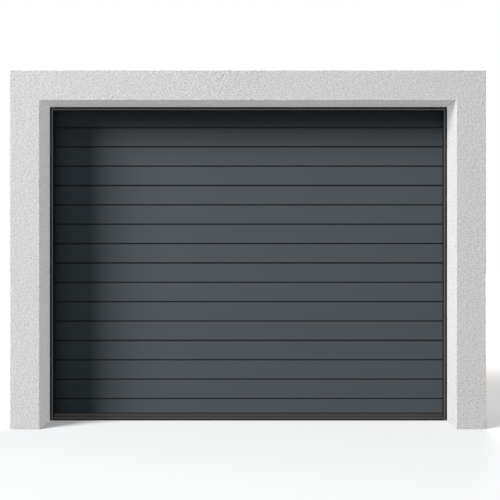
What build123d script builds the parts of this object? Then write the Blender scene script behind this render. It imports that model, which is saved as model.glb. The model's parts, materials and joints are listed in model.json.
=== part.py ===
from build123d import *
import os
from math import asin, atan2, cos, degrees, hypot, radians, sin, sqrt

# Sectional garage door in a plastered wall portal, millimetres.
# X runs along the wall, Y from the wall's inner face into the garage, Z up.
# The origin lies on the floor, in the middle of the threshold strip's front edge.

# Door opening and curtain
clear_width = 2500.0          # between the inner edges of the frame legs
section_count = 4
section_height = 500.0        # from one section joint to the next
planks_per_section = 4        # horizontal planks pressed into one section
section_thickness = 42.0
section_setback = 40.0        # from the frame's front to the curtain's outer face
side_overlap = 20.0           # how far the curtain reaches behind each leg
head_overlap = 21.0           # and behind the header
curtain_base = 7.0            # underside of the rubber bulb above the floor
groove_width = 10.5
groove_depth = 7.0
groove_floor = 5.0            # width of a groove at its bottom
groove_lip = 2.2              # radius over which the sheet is rolled into a groove
bead_width = 9.0              # shallow stiffening beads of the inner sheet
bead_depth = 1.5

# Plastered wall around the doorway
wall_thickness = 240.0
reveal_strip = 20.5           # frame left in view beside the opening
head_strip = 20.5             # and above it
pier_width = 181.8
lintel_height = 181.0
arris = 3.0                   # rounded-over plaster edges

# Fixed frame of folded sheet
sheet = 2.0
leg_width = 90.0
leg_depth = 75.0
leg_lip = 30.0                # flange on which the track brackets sit
frame_rise = 79.5             # frame behind the lintel, above the opening
strip_width = 12.0            # flat strip at the inner edge of the frame
shadow_depth = 9.0            # depth of the shadow groove beside the strip
return_depth = 15.0           # inner return that carries the rubber seal
header_depth = 38.0
fit_gap = 0.5                 # between frame pieces that meet
seal_gap = 0.3                # rubber lip to the curtain
seal_width = 7.0
seal_lip = 3.0
seal_heel = 9.0               # straight stretches of the rubber's two flanks
seal_shin = 12.0
seal_reach = 6.0              # how far the lip bends away from the edge

# Threshold strip and bottom edge
threshold_height = 9.0        # upright front of the threshold
threshold_crest = 17.0        # top of its ramp, in front of the curtain
threshold_nose = 35.0
threshold_depth = 95.0
threshold_bevel = 1.0
heel_slope = 6.0
retainer_bottom = 14.0
retainer_top = 42.6
retainer_bevel = 4.0
retainer_seam = 4.0           # shadow line between the retainer and the section
bulb_inset = 10.0             # rubber bulb narrower than the section

# Section joint: tongue and recess turn about the hinge pin
pin_offset = 9.0              # pin axis behind the inner face
pin_radius = 4.0
knuckle_radius = 7.0
pin_clearance = 0.3
tongue_radius = 44.0
tongue_angle = 30.0
tongue_clearance = 3.5
tongue_back = 19.0            # flank of the tongue before the inner face
tongue_taper = 2.0
shoulder_gap = 1.5

# Hinges, brackets and guide rollers
leaf_thickness = 2.5
leaf_height = 60.0
leaf_corner = 6.0
leaf_gap = 6.0                # from the knuckles to the flat leaf
web_run = 8.0                 # slope of the web from a knuckle down to its leaf
hinge_inset = 42.0            # side hinges in from the curtain's edge
side_hinge_width = 70.0
mid_hinge_width = 64.0
mid_hinges = 2
mid_hinge_pitch = 820.0
roller_radius = 21.5
roller_width = 18.0
roller_shaft = 5.0            # radius of the roller's shaft
roller_play = 2.0             # between the tyre and the track's web
holder_radius = 9.0
holder_foot = 22.0            # height of a roller holder's foot on its leaf
holder_drop = 12.0
roller_y = 115.0              # hinge rollers run on this line
bottom_roller_z = 80.0
top_roller_y = 128.0
top_roller_drop = 22.0        # top roller axis below the curtain's top
bracket_rise = 70.0           # bottom bracket above its roller
bracket_shoulder = 30.0
hook_radius = 5.0             # pin that the lift cable hangs on
hook_rise = 20.0
hook_end = 6.0
cheek_gap = 2.0               # bracket's side cheek beside the curtain
cheek_edge = 8.0
top_base_height = 120.0
top_base_shift = 55.0
top_arm_height = 90.0

# Tracks
track_half = 24.0             # flange centre line from the track's centre line
track_lip = 8.0
track_clearance = 64.0        # web of the lower tracks outboard of the curtain
track_width = 30.0
track_gap = 6.0               # upper tracks run outboard of the lower ones
track_foot = 6.0
bend_radius = 235.0
low_track_rise = 38.0         # level lower track above the closed curtain
track_end = 2400.0
track_nose = 26.0             # upper track runs on in front of the closed roller
roller_pace = 1.2             # height of the tilt's arc gained for each unit of lift
track_arcs = 3
plate = 3.0                   # sheet of brackets, hangers and bearing plates
bracket_height = 50.0         # track brackets, one half-way up each section
bracket_inset = 8.0           # brackets in from the open side of the track
bracket_edge = 4.0            # and from its web
spacer_run = 270.0            # first spacer behind the bend
spacer_width = 40.0
spacer_reach = 18.0
nose_bracket_height = 40.0
nose_bracket_foot = 45.0
nose_bracket_reach = 14.0
tie_flange = 30.0

# Counterbalance in front, above the header
shaft_y = 110.0
shaft_rise = 114.0            # above the top of the frame
shaft_radius = 12.7
shaft_end = 14.0
drum_gap = 6.0                # drums outboard of the curtain
drum_radius = 50.0
drum_flange = 58.0
drum_rim = 3.0
drum_width = 40.0
drum_hub = 8.0
spring_radius = 38.0
spring_wire = 7.0
spring_length = 560.0
spring_gap = 34.0             # first cone's room beside the centre bearing
cone_length = 36.0
cone_plug = 20.0              # part of a cone that is screwed into the spring
cone_flange = 42.0
bearing_radius = 26.0
bearing_width = 6.0
plate_gap = 15.0
plate_foot = 14.0             # bearing plates start this far above the frame
plate_head = 8.0              # and end this far below the wall's top
plate_shoulder = 36.0
end_foot_width = 44.0
mid_foot_width = 64.0
cable_radius = 2.0
cable_inset = 7.0

# Suspension
ceiling_rise = 250.0          # ceiling above the shaft
rear_hanger_inset = 100.0
hanger_pitch = 1050.0
hanger_width = 40.0
slot_count = 5
slot_pitch = 50.0
slot_length = 29.0
slot_width = 9.0
foot_width = 64.0
foot_length = 100.0
foot_bolt_pitch = 70.0
bolt_radius = 4.5

# Derived places
clear_half = clear_width / 2
opening_half = clear_half + reveal_strip
wall_half = opening_half + pier_width
curtain_half = clear_half + side_overlap
leg_outer = clear_half + leg_width
outer_face = section_setback
inner_face = section_setback + section_thickness
plank = section_height / planks_per_section
curtain_top = curtain_base + section_count * section_height
header_bottom = curtain_top - head_overlap
opening_top = header_bottom + head_strip
wall_top = opening_top + lintel_height
leg_height = opening_top + frame_rise
pin_y = inner_face + pin_offset
top_joint_z = curtain_top - section_height
top_roller_z = curtain_top - top_roller_drop
side_hinge_x = curtain_half - hinge_inset
track_back = curtain_half + track_clearance
track_front = track_back - track_width
top_track_back = track_back + track_width + track_gap
low_track_z = curtain_top + low_track_rise
bend_start = low_track_z - bend_radius
bend_end = roller_y + bend_radius
shaft_z = leg_height + shaft_rise
drum_x = curtain_half + drum_gap
end_plate_x = drum_x + drum_width + plate_gap
cable_x = drum_x + cable_inset
cable_y = shaft_y - drum_radius - cable_radius - seal_gap
hook_z = retainer_top + hook_rise
ceiling_z = shaft_z + ceiling_rise
rear_hanger_y = track_end - rear_hanger_inset
hanger_stations = (rear_hanger_y - hanger_pitch, rear_hanger_y)

os.makedirs("parts", exist_ok=True)


def save(builder, name):
    builder.part.label = name
    export_step(builder.part, f"parts/{name}.step")


def mirrored(builder):
    # the left-hand piece of a pair
    with BuildPart() as twin:
        mirror(builder.part, about=Plane.YZ)
    return twin


def save_pair(builder, name):
    save(builder, f"{name}_right")
    save(mirrored(builder), f"{name}_left")


def save_both_sides(builder, name):
    # one node with the right-hand and the left-hand piece
    with BuildPart() as pair:
        add(builder.part)
        mirror(builder.part, about=Plane.YZ)
    save(pair, name)


# Walls: two piers with a lintel between them
with BuildPart() as pier:
    with BuildSketch(Plane.XY):
        with Locations((opening_half + pier_width / 2, -wall_thickness / 2)):
            Rectangle(pier_width, wall_thickness)
    extrude(amount=wall_top)
    chamfer(pier.edges().filter_by(Axis.Z).group_by(Axis.Y)[0], arris)
save_pair(pier, "wall_pier")

with BuildPart() as lintel:
    with BuildSketch(Plane.YZ.offset(-opening_half)):
        with BuildLine():
            Polyline(
                (0, opening_top),
                (arris - wall_thickness, opening_top),
                (-wall_thickness, opening_top + arris),
                (-wall_thickness, wall_top),
                (0, wall_top),
                close=True,
            )
        make_face()
    extrude(amount=2 * opening_half)
save(lintel, "wall_lintel")

# Frame legs: folded sheet, with a shadow groove beside the visible strip
mid = sheet / 2
with BuildPart() as leg:
    with BuildSketch(Plane.XY):
        with BuildLine():
            Polyline(
                (clear_half + mid, return_depth),
                (clear_half + mid, mid),
                (clear_half + strip_width - mid, mid),
                (clear_half + strip_width + mid, shadow_depth),
                (opening_half - mid, shadow_depth),
                (opening_half + mid, mid),
                (leg_outer - mid, mid),
                (leg_outer - mid, leg_depth - mid),
                (leg_outer - leg_lip, leg_depth - mid),
            )
        trace(line_width=sheet)
    extrude(amount=leg_height)
save_pair(leg, "frame_leg")

# Header panel between the legs
with BuildPart() as header:
    with BuildSketch(Plane.YZ.offset(fit_gap - clear_half)):
        with BuildLine():
            Polyline(
                (return_depth, header_bottom + mid),
                (mid, header_bottom + mid),
                (mid, header_bottom + strip_width - mid),
                (shadow_depth, header_bottom + strip_width + mid),
                (shadow_depth, opening_top - mid),
                (mid, opening_top + mid),
                (mid, leg_height - mid),
                (header_depth, leg_height - mid),
                (header_depth, leg_height - strip_width),
            )
        trace(line_width=sheet)
    extrude(amount=clear_width - 2 * fit_gap)
save(header, "frame_header")


def seal_outline(edge):
    # rubber profile: base against the sheet's return, hooked lip to the curtain
    tip = section_setback - seal_gap
    with BuildSketch() as outline:
        with BuildLine():
            Polyline(
                (edge + seal_lip + seal_reach, tip),
                (edge + seal_width, return_depth + seal_heel),
                (edge + seal_width, return_depth),
                (edge, return_depth),
                (edge, return_depth + seal_shin),
            )
            TangentArc((edge, return_depth + seal_shin), (edge + seal_reach, tip), tangent=(0, 1))
            Line((edge + seal_reach, tip), (edge + seal_lip + seal_reach, tip))
        make_face()
    return outline.sketch


side_seal_outline = seal_outline(clear_half)
with BuildPart() as side_seal:
    with BuildSketch(Plane.XY):
        add(side_seal_outline)
    extrude(amount=header_bottom - seal_gap)
save_pair(side_seal, "side_seal")

# the same rubber profile, laid along the header
across = Plane(origin=(fit_gap - clear_half, 0, 0), x_dir=(0, 0, 1), z_dir=(-1, 0, 0))
head_seal_outline = seal_outline(header_bottom)
with BuildPart() as head_seal:
    with BuildSketch(across):
        add(head_seal_outline)
    extrude(amount=-(clear_width - 2 * fit_gap))
save(head_seal, "header_seal")

with BuildPart() as threshold:
    with BuildSketch(Plane.YZ.offset(fit_gap - clear_half)):
        with BuildLine():
            Polyline(
                (0, 0),
                (0, threshold_height - threshold_bevel),
                (threshold_bevel, threshold_height),
                (threshold_nose - threshold_bevel, threshold_crest),
                (threshold_nose, threshold_crest - threshold_bevel),
                (threshold_nose, curtain_base - seal_gap),
                (threshold_depth, curtain_base - seal_gap),
                (threshold_depth + heel_slope, 0),
                close=True,
            )
        make_face()
    extrude(amount=clear_width - 2 * fit_gap)
save(threshold, "threshold_strip")


# Curtain sections


def groove(z):
    # points of one pressed groove in the outer face, from below
    wide, narrow = groove_width / 2, groove_floor / 2
    return [
        (outer_face, z - wide),
        (outer_face + groove_depth, z - narrow),
        (outer_face + groove_depth, z + narrow),
        (outer_face, z + wide),
    ]


def bead(z):
    # points of one stiffening bead in the inner face, from above
    return [
        (inner_face, z + bead_width / 2),
        (inner_face - bead_depth, z + bead_width / 4),
        (inner_face - bead_depth, z - bead_width / 4),
        (inner_face, z - bead_width / 2),
    ]


def on_circle(radius, height):
    # point of a circle about the hinge pin, on the outer side, at a height over it
    return pin_y - sqrt(radius**2 - height**2), height


def section(index):
    base = curtain_base + index * section_height
    top = base + section_height
    lip = groove_width / 2
    outer_points = []
    inner_points = []
    for step in range(1, planks_per_section):
        outer_points += groove(base + step * plank)
        inner_points += bead(top - step * plank)
    rise = tongue_radius * sin(radians(tongue_angle))
    recess_radius = tongue_radius + tongue_clearance
    recess_rise = rise + tongue_clearance + shoulder_gap
    recess_back = inner_face - tongue_back + tongue_clearance
    with BuildPart() as body:
        with BuildSketch(Plane.YZ.offset(-curtain_half)) as outline:
            with BuildLine():
                if index == 0:
                    Polyline(
                        (inner_face, retainer_top),
                        (outer_face, retainer_top),
                        *outer_points,
                        (outer_face, top - lip),
                    )
                    last = (inner_face, retainer_top)
                else:
                    mouth = on_circle(recess_radius, lip)
                    crown = on_circle(recess_radius, recess_rise)
                    middle = on_circle(recess_radius, (lip + recess_rise) / 2)
                    Polyline(
                        (inner_face, base + shoulder_gap),
                        (recess_back + tongue_taper, base + shoulder_gap),
                        (recess_back, base + recess_rise),
                        (crown[0], base + recess_rise),
                    )
                    ThreePointArc(
                        (crown[0], base + recess_rise),
                        (middle[0], base + middle[1]),
                        (mouth[0], base + lip),
                    )
                    Polyline(
                        (mouth[0], base + lip),
                        (outer_face, base + lip),
                        *outer_points,
                        (outer_face, top - lip),
                    )
                    last = (inner_face, base + shoulder_gap)
                if index == section_count - 1:
                    Polyline(
                        (outer_face, top - lip),
                        (outer_face, top),
                        (inner_face, top),
                        *inner_points,
                        last,
                    )
                else:
                    foot = on_circle(tongue_radius, -lip)
                    middle = on_circle(tongue_radius, rise / 2)
                    crown = on_circle(tongue_radius, rise)
                    Line((outer_face, top - lip), (foot[0], top - lip))
                    ThreePointArc(
                        (foot[0], top - lip),
                        (middle[0], top + middle[1]),
                        (crown[0], top + rise),
                    )
                    Polyline(
                        (crown[0], top + rise),
                        (inner_face - tongue_back, top + rise),
                        (inner_face - tongue_back + tongue_taper, top - shoulder_gap),
                        (inner_face, top - shoulder_gap),
                        *inner_points,
                        last,
                    )
            make_face()
            outer_edge = outline.vertices().group_by(Axis.X)[0]
            fillet([lip_end for lip_end in outer_edge if lip_end.Y > retainer_top + lip], groove_lip)
        extrude(amount=2 * curtain_half)
    return body


for index in range(section_count):
    save(section(index), f"section_{index + 1}")

# Bottom edge: black retainer under the lowest section, rubber bulb under that
with BuildPart() as retainer:
    with BuildSketch(Plane.YZ.offset(-curtain_half)):
        with BuildLine():
            Polyline(
                (outer_face, retainer_bottom + retainer_bevel),
                (outer_face + retainer_bevel, retainer_bottom),
                (inner_face - retainer_bevel, retainer_bottom),
                (inner_face, retainer_bottom + retainer_bevel),
                (inner_face, retainer_top),
                (outer_face + retainer_seam, retainer_top),
                (outer_face + retainer_seam, retainer_top - retainer_seam),
                (outer_face, retainer_top - retainer_seam),
                close=True,
            )
        make_face()
    extrude(amount=2 * curtain_half)
save(retainer, "bottom_retainer")

with BuildPart() as bulb:
    with BuildSketch(Plane.YZ.offset(-curtain_half)):
        with Locations(((outer_face + inner_face) / 2, (retainer_bottom + curtain_base) / 2)):
            SlotOverall(section_thickness - bulb_inset, retainer_bottom - curtain_base)
    extrude(amount=2 * curtain_half)
save(bulb, "bottom_seal")


# Hinges. A leaf lies on the inner face; its knuckles turn on the pin.


def cross_rod(y, z, radius, start, end, mode=Mode.ADD):
    # round rod along the wall, added to the part being built
    with Locations(((start + end) / 2, y, z)):
        Cylinder(radius, end - start, rotation=(0, 90, 0), mode=mode)


def cross_bore(y, z, radius, start, end):
    cross_rod(y, z, radius, start - 1, end + 1, Mode.SUBTRACT)


def web_outline(z, side):
    # sheet that runs from a knuckle to its leaf; side is 1 above the pin and -1 below it
    with BuildSketch() as outline:
        with BuildLine():
            Polyline(
                (pin_y - knuckle_radius + pin_clearance, z),
                (inner_face, z + side * (knuckle_radius + web_run)),
                (inner_face + leaf_thickness, z + side * (knuckle_radius + web_run)),
                (pin_y, z + side * knuckle_radius),
                (pin_y, z),
                close=True,
            )
        make_face()
    return outline.sketch


def knuckle(z, side, start, end):
    # tube round the pin, with its web
    with BuildSketch(Plane.YZ.offset(start)) as outline:
        with Locations((pin_y, z)):
            Circle(knuckle_radius)
        add(web_outline(z, side))
    extrude(outline.sketch, amount=end - start)
    cross_bore(pin_y, z, pin_radius + pin_clearance, start, end)


def leaf(z, side, centre, width):
    middle = z + side * (knuckle_radius + leaf_gap + leaf_height / 2)
    with BuildSketch(Plane.XZ.offset(-inner_face)) as outline:
        with Locations((centre, middle)):
            Rectangle(width, leaf_height)
        chamfer(outline.vertices(), leaf_corner)
    extrude(outline.sketch, amount=-leaf_thickness)


def lower_hinge(z, centre, width):
    half = width / 2
    third = width / 3
    leaf(z, -1, centre, width)
    knuckle(z, -1, centre - half, centre - third / 2 - fit_gap)
    knuckle(z, -1, centre + third / 2 + fit_gap, centre + half)


def upper_hinge(z, centre, width):
    third = width / 3
    leaf(z, 1, centre, width)
    knuckle(z, 1, centre - third / 2, centre + third / 2)


def closed_hinge(z, centre, width):
    # hinge of a joint that stays straight: both leaves and the barrel are one solid
    leaf(z, -1, centre, width)
    leaf(z, 1, centre, width)
    with BuildSketch(Plane.YZ.offset(centre - width / 2)) as outline:
        with Locations((pin_y, z)):
            Circle(knuckle_radius)
        add(web_outline(z, -1))
        add(web_outline(z, 1))
    extrude(outline.sketch, amount=width)


def roller_holder(z, centre, width, foot_z):
    # two webs from the leaf back to the sleeve that takes the roller's shaft
    for start in (centre - width / 2, centre + width / 2 - plate):
        with BuildSketch(Plane.YZ.offset(start)) as cheek_outline:
            with BuildLine():
                Polyline(
                    (inner_face, foot_z - holder_foot),
                    (inner_face, foot_z),
                    (roller_y - holder_radius, z),
                    (roller_y, z),
                    (roller_y, z - holder_drop),
                    close=True,
                )
            make_face()
        extrude(cheek_outline.sketch, amount=plate)
    cross_rod(roller_y, z, holder_radius, centre - width / 2, centre + width / 2)
    cross_bore(roller_y, z, roller_shaft + pin_clearance, centre - width / 2, centre + width / 2)


def hinge_places():
    first = -(mid_hinges - 1) / 2
    return [(first + step) * mid_hinge_pitch for step in range(mid_hinges)]


def each_hinge():
    # centre and width of every hinge along one joint
    places = [(centre, mid_hinge_width) for centre in hinge_places()]
    return places + [(side * side_hinge_x, side_hinge_width) for side in (-1, 1)]


def side_holders(z):
    for side in (-1, 1):
        roller_holder(z, side * side_hinge_x, side_hinge_width, z - knuckle_radius - web_run)


joint_heights = [curtain_base + step * section_height for step in range(1, section_count)]
for name, z in zip(("low_hinges", "middle_hinges"), joint_heights):
    with BuildPart() as hinges:
        for centre, width in each_hinge():
            closed_hinge(z, centre, width)
        side_holders(z)
    save(hinges, name)

with BuildPart() as top_lower_leaves:
    for centre, width in each_hinge():
        lower_hinge(top_joint_z, centre, width)
    side_holders(top_joint_z)
save(top_lower_leaves, "top_hinge_lower_leaves")

with BuildPart() as top_upper_leaves:
    for centre, width in each_hinge():
        upper_hinge(top_joint_z, centre, width)
save(top_upper_leaves, "top_hinge_upper_leaves")

with BuildPart() as top_pins:
    for centre, width in each_hinge():
        cross_rod(pin_y, top_joint_z, pin_radius, centre - width / 2, centre + width / 2)
save(top_pins, "top_hinge_pins")

# Bottom brackets: roller sleeve, and a cheek with the pin that the cable is hooked on
cheek = curtain_half + cheek_gap
holder_start = side_hinge_x - side_hinge_width / 2
holder_end = side_hinge_x + side_hinge_width / 2
bracket_foot = retainer_top + leaf_gap
with BuildPart() as bottom_bracket:
    with BuildSketch(Plane.XZ.offset(-inner_face)):
        with BuildLine():
            Polyline(
                (holder_start, bracket_foot),
                (cheek + plate, bracket_foot),
                (cheek + plate, bottom_roller_z + bracket_shoulder),
                (holder_end, bottom_roller_z + bracket_rise),
                (holder_start, bottom_roller_z + bracket_rise),
                close=True,
            )
        make_face()
    extrude(amount=-plate)
    with BuildSketch(Plane.YZ.offset(cheek)):
        with BuildLine():
            Polyline(
                (cable_y - cheek_edge, bracket_foot),
                (inner_face + plate, bracket_foot),
                (inner_face + plate, bottom_roller_z + bracket_shoulder),
                (cable_y - cheek_edge, bracket_foot + bracket_shoulder),
                close=True,
            )
        make_face()
    extrude(amount=plate)
    cross_rod(cable_y, hook_z, hook_radius, cheek, cable_x + hook_end)
    roller_holder(bottom_roller_z, side_hinge_x, side_hinge_width, bottom_roller_z)
save_both_sides(bottom_bracket, "bottom_brackets")

# Top brackets: base on the inner face and an arm to the top roller
with BuildPart() as top_bracket:
    with BuildSketch(Plane.XZ.offset(-inner_face)) as base_plate:
        with Locations((side_hinge_x, top_roller_z - top_base_shift)):
            Rectangle(side_hinge_width, top_base_height)
        chamfer(base_plate.vertices(), leaf_corner)
    extrude(amount=-plate)
    for start in (holder_start, holder_end - plate):
        with BuildSketch(Plane.YZ.offset(start)):
            with BuildLine():
                Polyline(
                    (inner_face, top_roller_z - top_arm_height),
                    (inner_face, top_roller_z),
                    (top_roller_y, top_roller_z + holder_radius),
                    (top_roller_y, top_roller_z - holder_radius),
                    close=True,
                )
            make_face()
        extrude(amount=plate)
    cross_rod(top_roller_y, top_roller_z, holder_radius, holder_start, holder_end)
    cross_bore(top_roller_y, top_roller_z, roller_shaft + pin_clearance, holder_start, holder_end)
save_both_sides(top_bracket, "top_brackets")


def roller(y, z, web):
    # nylon tyre on its shaft; the web is the track's back behind it
    end = web - sheet / 2 - roller_play
    start = end - roller_width
    with BuildSketch(Plane.XY.offset(z)) as half:
        with BuildLine():
            Polyline(
                (holder_start, y),
                (holder_start, y + roller_shaft),
                (start, y + roller_shaft),
                (start, y + roller_radius),
                (end, y + roller_radius),
                (end, y),
                close=True,
            )
        make_face()
    revolve(half.sketch, axis=Axis((0, y, z), (1, 0, 0)))


with BuildPart() as rollers:
    for z in [bottom_roller_z] + joint_heights:
        roller(roller_y, z, track_back)
save_both_sides(rollers, "guide_rollers")

with BuildPart() as top_rollers:
    roller(top_roller_y, top_roller_z, top_track_back)
save_both_sides(top_rollers, "top_rollers")


# Tracks


def channel(back):
    # cross-section of a track, centred on y = 0 of its plane, open towards the curtain
    front = back - track_width
    with BuildSketch() as outline:
        with BuildLine():
            Polyline(
                (front, track_lip - track_half),
                (front, -track_half),
                (back, -track_half),
                (back, track_half),
                (front, track_half),
                (front, track_half - track_lip),
            )
        trace(line_width=sheet)
    return outline.sketch


def across_run(y, z, run_y, run_z):
    # plane square to a track that runs along (run_y, run_z) through (y, z)
    return Plane(origin=(0, y, z), x_dir=(1, 0, 0), z_dir=(0, run_y, run_z))


low_channel = channel(track_back)
top_channel = channel(top_track_back)

with BuildPart() as upright:
    with BuildSketch(Plane.XY.offset(track_foot)):
        with Locations((0, roller_y)):
            add(low_channel)
    extrude(amount=bend_start - track_foot)
save_pair(upright, "vertical_track")

with BuildPart() as bend:
    with BuildSketch(across_run(roller_y, bend_start, 0, 1)):
        add(low_channel)
    revolve(axis=Axis((0, bend_end, bend_start), (-1, 0, 0)), revolution_arc=90)
save_pair(bend, "curved_track")

with BuildPart() as runner:
    with BuildSketch(across_run(bend_end, low_track_z, 1, 0)):
        add(low_channel)
    extrude(amount=track_end - bend_end)
save_pair(runner, "horizontal_track")

# The upper track is shaped so that the top section tilts evenly with the lift:
# its roller stays at one distance from the top hinge pin, and each unit of lift
# turns it by roller_pace / roller_reach.
roller_reach = hypot(top_roller_y - pin_y, top_roller_z - top_joint_z)
rest_angle = atan2(top_roller_y - pin_y, top_roller_z - top_joint_z)
tilt_per_lift = roller_pace / roller_reach
level_lift = (asin(1 / roller_pace) - rest_angle) / tilt_per_lift


def top_roller_at(lift):
    angle = rest_angle + tilt_per_lift * lift
    return pin_y + roller_reach * sin(angle), top_joint_z + lift + roller_reach * cos(angle)


with BuildPart() as top_track:
    # from the level stretch forward and down, in arcs that run on from each other
    here = top_roller_at(level_lift)
    run = (-1.0, 0.0)
    with BuildSketch(across_run(here[0], here[1], 1, 0)):
        add(top_channel)
    extrude(amount=track_end - here[0])
    for step in range(1, track_arcs + 1):
        share = 1 - step / track_arcs
        there = top_roller_at(share * (level_lift + track_nose) - track_nose)
        chord = (there[0] - here[0], there[1] - here[1])
        square = (-run[1], run[0])
        lean = chord[0] * square[0] + chord[1] * square[1]
        radius = (chord[0] ** 2 + chord[1] ** 2) / (2 * lean)
        centre = (here[0] + square[0] * radius, here[1] + square[1] * radius)
        turn = 2 * asin(hypot(*chord) / 2 / abs(radius))
        with BuildSketch(across_run(here[0], here[1], run[0], run[1])):
            add(top_channel)
        revolve(axis=Axis((0, *centre), (1, 0, 0)), revolution_arc=degrees(turn))
        run = (
            run[0] * cos(turn) - run[1] * sin(turn),
            run[0] * sin(turn) + run[1] * cos(turn),
        )
        here = there
save_pair(top_track, "top_track")

# Brackets that hold the tracks
track_flank = roller_y - track_half - sheet / 2
with BuildPart() as leg_brackets:
    for index in range(section_count):
        middle = curtain_base + (index + 0.5) * section_height
        with BuildSketch(Plane.XY.offset(middle - bracket_height / 2)):
            with BuildLine():
                Polyline(
                    (track_front + bracket_inset, leg_depth + plate / 2),
                    (track_back - bracket_edge, leg_depth + plate / 2),
                    (track_back - bracket_edge, track_flank - plate / 2),
                    (track_front + bracket_inset, track_flank - plate / 2),
                )
            trace(line_width=plate)
        extrude(amount=bracket_height)
save_both_sides(leg_brackets, "track_brackets")

level_z = top_roller_at(level_lift)[1]
low_side = track_back + sheet / 2
top_side = top_track_back + sheet / 2
with BuildPart() as spacers:
    for y in (bend_end + spacer_run, *hanger_stations):
        with BuildSketch(Plane.XZ.offset(-y + spacer_width / 2)):
            with BuildLine():
                Polyline(
                    (low_side + plate / 2, low_track_z - spacer_reach),
                    (low_side + plate / 2, (low_track_z + level_z) / 2),
                    (top_side + plate / 2, (low_track_z + level_z) / 2),
                    (top_side + plate / 2, level_z + spacer_reach),
                )
            trace(line_width=plate)
        extrude(amount=-spacer_width)
save_both_sides(spacers, "track_spacers")

with BuildPart() as nose_bracket:
    with BuildSketch(Plane.XY.offset(top_roller_z - nose_bracket_reach)):
        with BuildLine():
            Polyline(
                (top_side + nose_bracket_foot, plate / 2),
                (top_side + plate / 2, plate / 2),
                (top_side + plate / 2, top_roller_y + nose_bracket_reach),
            )
        trace(line_width=plate)
    extrude(amount=nose_bracket_height)
save_both_sides(nose_bracket, "top_track_brackets")

# Cross tie that closes the rear ends of the tracks
with BuildPart() as tie:
    with BuildSketch(Plane.YZ.offset(-top_side)):
        with BuildLine():
            Polyline(
                (track_end + tie_flange, low_track_z - track_half),
                (track_end + plate / 2, low_track_z - track_half),
                (track_end + plate / 2, level_z + track_half),
                (track_end + tie_flange, level_z + track_half),
            )
        trace(line_width=plate)
    extrude(amount=2 * top_side)
save(tie, "rear_cross_tie")

# Ceiling hangers: slotted straps with a foot plate under the ceiling
strap_x = top_side + plate
strap_foot = level_z - hanger_width / 2
slots_start = level_z + track_half + slot_length
with BuildPart() as hangers:
    for y in hanger_stations:
        with BuildSketch(Plane.YZ.offset(strap_x)):
            with Locations((y, (strap_foot + ceiling_z) / 2)):
                Rectangle(hanger_width, ceiling_z - strap_foot)
            with Locations((y, slots_start + slot_pitch * (slot_count - 1) / 2)):
                with GridLocations(0, slot_pitch, 1, slot_count):
                    Rectangle(slot_width, slot_length, mode=Mode.SUBTRACT)
        extrude(amount=plate)
        with BuildSketch(Plane.XY.offset(ceiling_z - plate)):
            with Locations((strap_x + foot_width / 2, y)):
                Rectangle(foot_width, foot_length)
                with GridLocations(0, foot_bolt_pitch, 1, 2):
                    Circle(bolt_radius, mode=Mode.SUBTRACT)
        extrude(amount=plate)
save_both_sides(hangers, "ceiling_hangers")

# Counterbalance: shaft, springs, drums, bearing plates and cables
with BuildPart() as shaft:
    cross_rod(
        shaft_y, shaft_z, shaft_radius, -end_plate_x - shaft_end, end_plate_x + shaft_end
    )
save(shaft, "torsion_shaft")

hub = shaft_radius + pin_clearance


def turned(points):
    # solid of revolution about the shaft; points are (x, radius)
    with BuildSketch(Plane.XY.offset(shaft_z)) as half:
        with BuildLine():
            Polyline(*[(x, shaft_y + radius) for x, radius in points], close=True)
        make_face()
    revolve(half.sketch, axis=Axis((0, shaft_y, shaft_z), (1, 0, 0)))


with BuildPart() as drum:
    outer_end = drum_x + drum_width
    turned([
        (drum_x, hub),
        (drum_x, drum_flange),
        (drum_x + drum_rim, drum_flange),
        (drum_x + drum_rim, drum_radius),
        (outer_end - drum_rim, drum_radius),
        (outer_end, drum_radius - drum_rim),
        (outer_end + drum_hub, shaft_radius + drum_hub),
        (outer_end + drum_hub, hub),
    ])
save_both_sides(drum, "cable_drums")

spring_start = bearing_radius + spring_gap
spring_end = spring_start + spring_length
bore_radius = spring_radius - spring_wire
with BuildPart() as spring:
    turned([
        (spring_start, bore_radius),
        (spring_start, spring_radius),
        (spring_end, spring_radius),
        (spring_end, bore_radius),
    ])
save_pair(spring, "torsion_spring")


def cone(end, outward):
    # cone that holds a spring's end; outward is the direction away from the spring
    turned([
        (end + outward * cone_length, hub),
        (end + outward * cone_length, cone_flange),
        (end + outward * pin_clearance, spring_radius),
        (end + outward * pin_clearance, bore_radius - pin_clearance),
        (end - outward * cone_plug, bore_radius - pin_clearance),
        (end - outward * cone_plug, hub),
    ])


with BuildPart() as cones:
    cone(spring_start, -1)
    cone(spring_end, 1)
save_both_sides(cones, "spring_cones")


def bearing_plate(x, foot_x, foot_width):
    # upright plate on a foot that is bolted to the wall, with a bearing round the shaft
    foot_bottom = leg_height + plate_foot
    foot_top = wall_top - plate_head
    with BuildSketch(Plane.YZ.offset(x)) as web:
        with BuildLine():
            Polyline(
                (0, foot_bottom),
                (plate, foot_bottom),
                (shaft_y + plate_shoulder, shaft_z - bearing_radius),
                (shaft_y + plate_shoulder, shaft_z + bearing_radius),
                (shaft_y - bearing_width, shaft_z + plate_shoulder),
                (0, foot_top),
                close=True,
            )
        make_face()
    extrude(web.sketch, amount=plate)
    with BuildSketch(Plane.XZ) as foot:
        with Locations((foot_x, (foot_bottom + foot_top) / 2)):
            Rectangle(foot_width, foot_top - foot_bottom)
    extrude(foot.sketch, amount=-plate)
    cross_rod(shaft_y, shaft_z, bearing_radius, x - bearing_width, x + plate + bearing_width)
    cross_bore(shaft_y, shaft_z, hub, x - bearing_width, x + plate + bearing_width)


with BuildPart() as end_plate:
    bearing_plate(end_plate_x, end_plate_x + end_foot_width / 2, end_foot_width)
save_both_sides(end_plate, "end_bearing_plates")

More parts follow.
